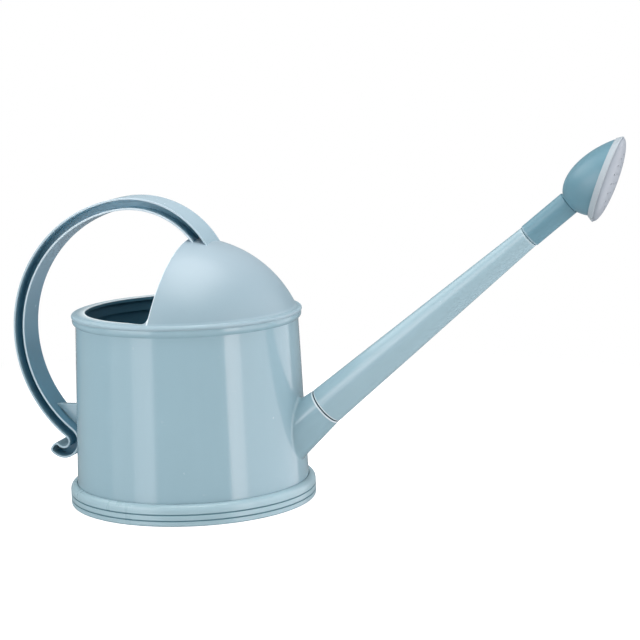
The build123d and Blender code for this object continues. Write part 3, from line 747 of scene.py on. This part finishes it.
def make_spray_plate(finish):
    """Spray plate: tapered rim, narrow ledge and the drilled dome."""
    spray = FACE_RADIUS - FACE_LEDGE
    profile = []
    for k in range(31):
        angle = pi / 2 * (1 - k / 30)
        profile.append((spray * cos(angle) if k else 0.0, FACE_RISE * sin(angle)))
    plug_end = -FACE_RIM - PLUG_LENGTH
    rim = [(spray, 0, 0), (FACE_RADIUS, 0, 0.45), (FACE_BACK, -FACE_RIM, 0.3), (PLUG_RADIUS, -FACE_RIM, 0)]
    rim += [(PLUG_RADIUS, plug_end, 0.2), (PLUG_BORE, plug_end, 0.2), (PLUG_BORE, -FACE_RIM - 1.0, 0)]
    profile += rounded(rim)[1:-1]
    bend = (PLUG_BORE**2 + BACK_RISE**2) / (2 * BACK_RISE)
    last = acos(PLUG_BORE / bend)
    for k in range(14):
        angle = last + (pi / 2 - last) * k / 13
        height = FACE_RISE - FACE_WALL - bend + bend * sin(angle)
        profile.append((bend * cos(angle) if k < 13 else 0.0, height))
    plate = Moulding()
    plate.turned(profile, FACE_CENTRE, FACE_WAY, closed=False, steps=144)
    made = plate.piece("spray_plate", 30)
    tree, names = spray_tree()
    holes = made.modifiers.new("holes", "NODES")
    holes.node_group = tree
    given = {"Pitch": SPRAY_PITCH * MM, "Hole radius": SPRAY_HOLE * MM, "Depth": SPRAY_DEPTH * MM}
    given.update({"Place": FACE_CENTRE * MM, "Tilt": (0.0, pi / 2 - FACE_TILT, 0.0), "Finish": finish})
    for label, value in given.items():
        holes[names[label]] = value
    return settle(made, 30)


class Signal:
    """One socket of a shader tree; sums on it add Math nodes."""

    def __init__(self, finish, socket):
        self.finish = finish
        self.socket = socket

    def sum(self, operation, first, second):
        """A Math node of two numbers or signals."""
        return self.finish.node("ShaderNodeMath", {"operation": operation}, {0: first, 1: second})

    def __add__(self, other):
        return self.sum("ADD", self, other)

    def __radd__(self, other):
        return self.sum("ADD", other, self)

    def __sub__(self, other):
        return self.sum("SUBTRACT", self, other)

    def __rsub__(self, other):
        return self.sum("SUBTRACT", other, self)

    def __mul__(self, other):
        return self.sum("MULTIPLY", self, other)

    def __rmul__(self, other):
        return self.sum("MULTIPLY", other, self)

    def __pow__(self, other):
        return self.sum("POWER", self, other)


class Finish:
    """One procedural material, or the light of a world."""

    def __init__(self, name, kind=bpy.data.materials):
        self.made = kind.new(name)
        self.made.use_nodes = True
        self.tree = self.made.node_tree
        self.tree.nodes.clear()

    def node(self, kind, settings=None, values=None, out=0):
        """A node of a type, with its settings and then the values or links of its sockets."""
        made = self.tree.nodes.new(kind)
        for key, value in (settings or {}).items():
            setattr(made, key, value)
        for key, value in (values or {}).items():
            if isinstance(value, Signal):
                self.tree.links.new(value.socket, made.inputs[key])
            else:
                made.inputs[key].default_value = value
        return Signal(self, made.outputs[out]) if made.outputs else made

    def vector(self, operation, first, second=(0, 0, 0), out=0):
        """A sum of vectors; the result is a number with out 1."""
        return self.node("ShaderNodeVectorMath", {"operation": operation}, {0: first, 1: second}, out=out)

    def unsigned(self, value):
        """A number without its sign."""
        return self.node("ShaderNodeMath", {"operation": "ABSOLUTE"}, {0: value})

    def place(self, scale=(1, 1, 1), turn=(0, 0, 0)):
        """Object coordinates, turned and stretched."""
        where = self.node("ShaderNodeTexCoord", out=3)
        values = {"Vector": where, "Scale": scale, "Rotation": turn}
        return self.node("ShaderNodeMapping", {"vector_type": "POINT"}, values)

    def parts(self):
        """Object coordinates as three numbers."""
        first = self.node("ShaderNodeSeparateXYZ", None, {0: self.place()})
        return [Signal(self, socket) for socket in first.socket.node.outputs]

    def noise(self, where, scale, detail=3.0, rough=0.55):
        """Soft random clouds from 0 to 1."""
        values = {"Vector": where, "Scale": scale, "Detail": detail, "Roughness": rough}
        return self.node("ShaderNodeTexNoise", {"noise_dimensions": "3D"}, values)

    def ramp(self, value, low, high):
        """0 below one value and 1 above another."""
        values = {"Value": value, "From Min": low, "From Max": high}
        return self.node("ShaderNodeMapRange", {"interpolation_type": "SMOOTHSTEP"}, values)

    def past(self, value, low, high):
        """0 below one length in millimetres and 1 above another."""
        return self.ramp(value, low * MM, high * MM)

    def before(self, value, low, high):
        """1 below one length in millimetres and 0 above another."""
        return 1.0 - self.past(value, low, high)

    def mix(self, mask, first, second):
        """The first colour where a mask is 0, and the second where it is 1."""
        tones = {}
        for key, tone in ((6, first), (7, second)):
            tones[key] = tone if isinstance(tone, Signal) else (*tone, 1.0)
        return self.node("ShaderNodeMix", {"data_type": "RGBA"}, {0: mask, **tones}, out=2)

    def done(self, colour, roughness, height, depth, strength, **fixed):
        """The finished material, with a bump of a depth in metres."""
        relief = {"Height": height, "Distance": depth, "Strength": strength}
        bump = self.node("ShaderNodeBump", None, relief)
        values = {"Base Color": colour, "Roughness": roughness, "Normal": bump}
        values.update({key.replace("_", " "): value for key, value in fixed.items()})
        shader = self.node("ShaderNodeBsdfPrincipled", None, values)
        self.node("ShaderNodeOutputMaterial", None, {"Surface": shader})
        return self.made


# Painted shade in a seam's gap, as what it leaves of red, green and blue; then the pale tones of painted
# highlights on edges and on a seam's chamfers.
GAP_SHADE = (0.05, 0.12, 0.15)
HIGHLIGHT_TONE, SEAM_HIGHLIGHT_TONE = (0.80, 0.91, 0.94), (0.86, 0.91, 0.93)


def moulded(name, tone, roughness, scuff=1.0, shine=0.5, seams=(), painted_shade=None, tint=None, painted_highlight=None):
    """Moulded plastic: slight clouds of colour, flow lines, a fine skin, a few specks and scuffs, and
    painted shade, painted light and painted highlights where they are given.
    """

    def deeper(shares):
        return tuple(c * d for c, d in zip(tone, shares))

    f = Finish(name)
    where = f.place()
    clouds = f.noise(where, 9.0, 4.0)
    flow = f.noise(f.place(scale=(60, 60, 5)), 1.0, 4.0)
    skin = f.noise(where, 420.0, 2.0)
    swirl = f.noise(where, 90.0, 1.0)
    specks = f.ramp(f.noise(where, 190.0, 1.0, 0.4), 0.75, 0.79)
    near = f.ramp(f.noise(where, 21.0, 2.0), 0.50, 0.62)
    brushed = f.noise(f.place(scale=(40, 40, 420), turn=(0.5, 0.3, 0.2)), 1.0, 2.0)
    scratch = f.ramp(brushed, 0.72, 0.76)
    marks = (specks * near + scratch * near * 0.5) * scuff
    deep = tuple(c * 0.95 for c in tone)
    light = tuple(min(1.0, c * 1.045 + 0.002) for c in tone)
    pale = tuple(c + (0.9 - c) * 0.22 for c in tone)
    colour = f.mix(clouds * 0.7 + flow * 0.3, deep, light)
    colour = f.mix(marks * 0.3, colour, pale)
    # Painted shade: the tone darkened where the mask is 1.
    if painted_shade:
        inside, depth = painted_shade
        colour = f.mix(inside(f), colour, deeper(depth))
    # Painted light and shade: the colour multiplied by shares that the piece gives.
    if tint:
        colour = f.vector("MULTIPLY", colour, tint(f))
    # Painted highlight: a pale tone mixed in along the edges that the mask gives.
    if painted_highlight:
        colour = f.mix(painted_highlight(f) * 0.35, colour, HIGHLIGHT_TONE)
    for at, radius, clear in seams:
        # Painted highlight on the seam's chamfers, then painted shade in its gap.
        rim, gap = seam_shares(f, at, radius)
        colour = f.mix(rim * clear * 0.6, colour, SEAM_HIGHLIGHT_TONE)
        colour = f.mix(gap, colour, deeper(GAP_SHADE))
    gloss = roughness + (clouds - 0.5) * 0.05 + (flow - 0.5) * 0.03 + marks * 0.15
    height = skin * 0.1 + swirl * 0.9 + marks * 0.2
    return f.done(colour, gloss, height, 0.00002, 0.1, Specular_IOR_Level=shine)


def seam_shares(f, at, radius):
    """Painted highlight on a joint's chamfers and painted shade in its gap, by its place along the spout and
    its radius.
    """
    here = f.vector("SUBTRACT", f.place(), SPOUT_ROOT * MM)
    along_way = f.vector("DOT_PRODUCT", here, SPOUT_WAY, out=1)
    span = f.vector("LENGTH", here, out=1)
    out = (span * span - along_way * along_way) ** 0.5
    aside = f.unsigned(along_way - at * MM)
    gap = f.before(out, radius - 0.6, radius - 0.35) * f.before(aside, 1.2, 1.3)
    rim = f.past(aside, 0.5, 0.8) - f.past(aside, 1.3, 2.0)
    return rim * f.before(out, radius + 1.0, radius + 1.3), gap


def band_grooves(f):
    """1 in the two grooves that part the base's bands, where painted shade darkens them."""
    x, y, z = f.parts()
    share = 0.0
    for band in BANDS:
        share = share + f.before(f.unsigned(z - band * MM), 0.35, 0.9)
    return share * f.past((x * x + y * y) ** 0.5, FLANGE_RADIUS - 1.6, FLANGE_RADIUS - 1.2)


def inside_tank(f):
    """1 on the inside of the tank's wall, which tapers as the outside does; painted shade darkens it there.
    """
    x, y, z = f.parts()
    depth = (x * x + y * y) ** 0.5 + z * DRAFT
    return f.before(depth, wall_radius(0.0) - 1.6, wall_radius(0.0) - 1.0)


def inside_cover(f):
    """1 under the hood and below the mouth's edge, where painted shade darkens the cover."""
    x, y, z = f.parts()
    rise = z - HOOD_CENTRE.z * MM
    out = (x * x + y * y + rise * rise) ** 0.5
    under = f.before(out, HOOD_RADIUS - 1.8, HOOD_RADIUS - 1.0)
    edge = f.past(z, LIP_Z - 1.0, LIP_Z - 0.5) - f.past(z, LIP_Z + 0.4, LIP_Z + 0.9)
    return under * (1.0 - edge)


def mouth_edge_highlight(f):
    """Painted highlight: 2 along the arch's edge, and up to 2.7 along the inner edge of the lip, fading
    outwards.
    """
    x, y, z = f.parts()
    lean = x - ARCH_X * MM - (z - LIP_Z * MM) * tan(ARCH_LEAN)
    arch = f.before(f.unsigned(lean), 0.5, 0.9) * f.past(z, LIP_Z - 0.6, LIP_Z - 0.2)
    level = f.past(z, LIP_Z - 0.8, LIP_Z - 0.5) - f.past(z, LIP_Z + 0.4, LIP_Z + 0.8)
    out = (x * x + y * y) ** 0.5
    line = f.before(out, MOUTH_RADIUS + 1.2, MOUTH_RADIUS + 2.4)
    slope = f.before(out, MOUTH_RADIUS + 1.0, HOOD_FOOT + 0.3)
    lip = (line * 0.5 + slope * 0.85) * level * f.before(lean, 0.0, 0.8)
    return f.node("ShaderNodeMath", {"operation": "MAXIMUM"}, {0: arch, 1: lip}) * 2.0


def plate_rim_highlight(f):
    """Painted highlight: 0.7 on the spray plate's tapered rim, behind the plane of its edge."""
    here = f.vector("SUBTRACT", f.place(), FACE_CENTRE * MM)
    ahead = f.vector("DOT_PRODUCT", here, FACE_WAY, out=1)
    return f.before(ahead, -0.4, 0.2) * 0.7


def hood_light_and_shade(f):
    """Painted light and shade on the hood: its colour darker at its foot and paler on its crown."""
    z = f.parts()[2]
    lit_and_shaded = f.mix(f.past(z, LAND_Z, LAND_Z + HOOD_RISE), (0.84, 0.86, 0.87), (1.14, 1.05, 1.05))
    return f.mix(f.past(z, LIP_Z, LIP_Z + 1.5), (1.0, 1.0, 1.0), lit_and_shaded)


def carried(name, out):
    """A colour, with out 0, or a share, with out 2, that the piece's own points carry."""
    return lambda f: f.node("ShaderNodeAttribute", {"attribute_name": name}, out=out)


def clouded(name, scales, tones, gloss, relief, **fixed):
    """Zinc or rubber: clouds of colour and gloss, and a fine grit."""
    f = Finish(name)
    where = f.place()
    cloud, grit = f.noise(where, scales[0]), f.noise(where, scales[1], 2.0)
    return f.done(f.mix(cloud, *tones), gloss[0] + cloud * gloss[1], grit, *relief, **fixed)


# A seam's place along the spout, its radius, and how strong the painted highlight on its chamfers is.
stub_seam = (STUB_LENGTH + SEAM / 2, TUBE_FOOT, 1.0)
neck_seam = (TUBE_END + SEAM / 2, TUBE_TIP, 0.3)
# The places inside a piece that painted shade darkens, with what it leaves of their red, green and blue.
shade_in_tank, shade_in_cover = (inside_tank, (0.3, 0.5, 0.6)), (inside_cover, (0.24, 0.45, 0.55))
shade_in_grooves = (band_grooves, (0.32, 0.46, 0.5))
# The handle's points carry its painted highlight ('crest') and its painted light and shade ('tint').
crest, tint = carried("crest", 2), carried("tint", 0)
tank_finish = moulded("tank_plastic", (0.275, 0.425, 0.487), 0.13, seams=[stub_seam], painted_shade=shade_in_tank)
base_finish = moulded("base_plastic", (0.322, 0.48, 0.535), 0.28, scuff=0.5, painted_shade=shade_in_grooves)
cover_look = {"scuff": 0.5, "painted_shade": shade_in_cover, "tint": hood_light_and_shade, "painted_highlight": mouth_edge_highlight}
cover_finish = moulded("cover_plastic_satin", (0.292, 0.422, 0.482), 0.38, **cover_look)
handle_look = {"scuff": 0.6, "shine": 0.25, "tint": tint, "painted_highlight": crest}
handle_finish = moulded("handle_plastic", (0.285, 0.435, 0.505), 0.26, **handle_look)
both_seams = [stub_seam, neck_seam]
spout_finish = moulded("spout_plastic", (0.305, 0.455, 0.515), 0.2, scuff=0.7, seams=both_seams)
rose_finish = moulded("rose_plastic", (0.126, 0.268, 0.335), 0.34, scuff=0.6, seams=[neck_seam])
plate_finish = moulded("spray_plate_plastic", (0.245, 0.3, 0.342), 0.42, scuff=0.4, painted_highlight=plate_rim_highlight)
zinc_tones = ((0.47, 0.48, 0.5), (0.66, 0.67, 0.68))
rubber_tones = ((0.012, 0.013, 0.014), (0.03, 0.031, 0.033))
screw_finish = clouded("screw_zinc", (160.0, 1400.0), zinc_tones, (0.28, 0.16), (0.00003, 0.3), Metallic=1.0)
seal_finish = clouded("seal_rubber", (60.0, 900.0), rubber_tones, (0.55, 0.2), (0.00005, 0.4))


def coat(made, finish):
    """Gives an object one finish alone."""
    made.data.materials.clear()
    made.data.materials.append(finish)


pieces = (
    (make_base(), "can", "base_cap", "base", base_finish),
    (make_tank(), "can", "tank_shell", "tank", tank_finish),
    (make_cover(), "can", "top_cover", "cover", cover_finish),
    (make_handle(), "can", "handle", "handle", handle_finish),
    (make_spout(), "spout", "spout_tube", "spout", spout_finish),
    (make_rose(), "rose", "rose_shell", "rose", rose_finish),
    (make_spray_plate(plate_finish), "rose", "rose_face", "rose_face", plate_finish),
)
for made, body, node, slot, finish in pieces:
    coat(made, finish)
    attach(made, body)
    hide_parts(node)

coat(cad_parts["handle_screw"], screw_finish)
for node in ("spout_seal", "rose_seal"):
    coat(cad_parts[node], seal_finish)

# Metres of floor, and shares of white. Light Path's first output is Is Camera Ray.
FLOOR_RADIUS, FLOOR_NEAR, FLOOR_FAR, FLOOR_LIFT = 6.0, 0.25, 0.75, 0.62
ROOM_GLOW = 0.24


def lay_floor():
    """Plain pale floor: lit as any white card, with a white lift that only the camera sees."""
    mesh = bpy.data.meshes.new("floor")
    work = bmesh.new()
    bmesh.ops.create_circle(work, cap_ends=True, segments=96, radius=FLOOR_RADIUS)
    work.to_mesh(mesh)
    work.free()
    floor = bpy.data.objects.new("floor", mesh)
    bpy.context.scene.collection.objects.link(floor)
    f = Finish("floor_card")
    where = f.place()
    far = f.ramp(f.vector("LENGTH", where, out=1), FLOOR_NEAR, FLOOR_FAR)
    seen = f.node("ShaderNodeLightPath")
    tone = f.mix(f.noise(where, 40.0), (0.80, 0.80, 0.80), (0.83, 0.83, 0.83))
    card = f.node("ShaderNodeBsdfDiffuse", None, {"Color": tone})
    lift = f.node("ShaderNodeEmission", None, {"Color": (1, 1, 1, 1), "Strength": FLOOR_LIFT})
    white = f.node("ShaderNodeEmission", None, {"Color": (1, 1, 1, 1), "Strength": 1.0})
    lifted = f.node("ShaderNodeAddShader", None, {0: card, 1: lift})
    shown = f.node("ShaderNodeMixShader", None, {0: far, 1: lifted, 2: white})
    final = f.node("ShaderNodeMixShader", None, {0: seen, 1: card, 2: shown})
    f.node("ShaderNodeOutputMaterial", None, {"Surface": final})
    mesh.materials.append(f.made)
    floor.visible_glossy = False


def light_room():
    """White behind the object for the camera, and a dim even room for its light."""
    f = Finish("room", bpy.data.worlds)
    bpy.context.scene.world = f.made
    seen = f.node("ShaderNodeLightPath")
    glow = seen * (1.0 - ROOM_GLOW) + ROOM_GLOW
    room = f.node("ShaderNodeBackground", None, {"Color": (1.0, 1.0, 1.0, 1.0), "Strength": glow})
    f.node("ShaderNodeOutputWorld", None, {"Surface": room})


def softbox(name, place, aim, size, glow, tint=(1.0, 1.0, 1.0), spread=180):
    """An area lamp of a given size and brightness that faces a point."""
    lamp = bpy.data.lights.new(name, "AREA")
    lamp.shape = "RECTANGLE"
    lamp.size, lamp.size_y = size
    lamp.energy = glow * pi * size[0] * size[1]
    lamp.color = tint
    lamp.spread = radians(spread)
    box = bpy.data.objects.new(name, lamp)
    bpy.context.scene.collection.objects.link(box)
    box.location = place
    box.rotation_euler = (Vector(aim) - Vector(place)).to_track_quat("-Z", "Y").to_euler()


def round_the_can(azimuth, distance, height):
    """A place round the can's axis: azimuth in degrees, distance and height in metres."""
    angle = radians(azimuth)
    return Vector((distance * cos(angle), distance * sin(angle), height))


def edge_strip(name, edge, way, width, height, glow, tint, spread):
    """An upright strip from an edge, to the side that its width's sign gives, facing against an azimuth."""
    face = round_the_can(way, 1.0, 0.0)
    side = UPRIGHT.cross(face) * (1 if width > 0 else -1)
    middle = Vector(edge) + side * abs(width) / 2
    softbox(name, middle, middle - face, (abs(width), height), glow, tint, spread)


lay_floor()
light_room()
softbox("top_box", (0.12, -0.05, 1.6), (0.12, -0.05, 0), (0.95, 1.4), 4.1)
softbox("front_top", round_the_can(-70, 1.35, 1.2), (0, 0, 0.1), (0.9, 0.6), 0.95)
softbox("left_back", (-1.0, 0.25, 1.2), (0.25, 0, 0.2), (1.2, 0.7), 2.0)
edge_strip("left_wide", (-0.33, -1.09, 0.25), -107.7, -1.2, 1.5, 0.7, (1.0, 0.96, 0.97), 180)
edge_strip("left_edge", (-0.26, -1.00, 0.25), -107.7, -0.42, 1.5, 0.45, (1.0, 0.90, 0.93), 90)
edge_strip("left_high", (-0.34, -1.03, 0.90), -107.7, -1.2, 1.1, 2.0, (1.0, 0.93, 0.95), 180)
edge_strip("right_wide", (0.938, -0.654, 0.25), 0.0, 1.9, 1.5, 1.6, (1.0, 0.92, 0.95), 180)
edge_strip("right_edge", (0.854, -0.599, 0.25), -33.3, 0.3, 1.5, 0.7, (1.0, 0.82, 0.78), 90)

# The camera of the photograph.
place = Vector((0.5610, -1.5377, 0.4083))
tilt, lean, roll = radians(16.0), radians(8.892), radians(-1.796)
right = Vector((cos(tilt), sin(tilt), 0))
back = Vector((sin(tilt) * cos(lean), -cos(tilt) * cos(lean), sin(lean)))
down = (-back).cross(right)
axes = (right * cos(roll) - down * sin(roll), -(right * sin(roll) + down * cos(roll)), back)
lens = bpy.data.cameras.new("photo_view")
lens.lens, lens.sensor_width, lens.sensor_fit = 106.875, 36.0, "HORIZONTAL"
camera = bpy.data.objects.new("photo_view", lens)
bpy.context.scene.collection.objects.link(camera)
camera.matrix_world = Matrix.Translation(place) @ Matrix(axes).transposed().to_4x4()
bpy.context.scene.camera = camera
bpy.context.scene.view_settings.view_transform = "Standard"
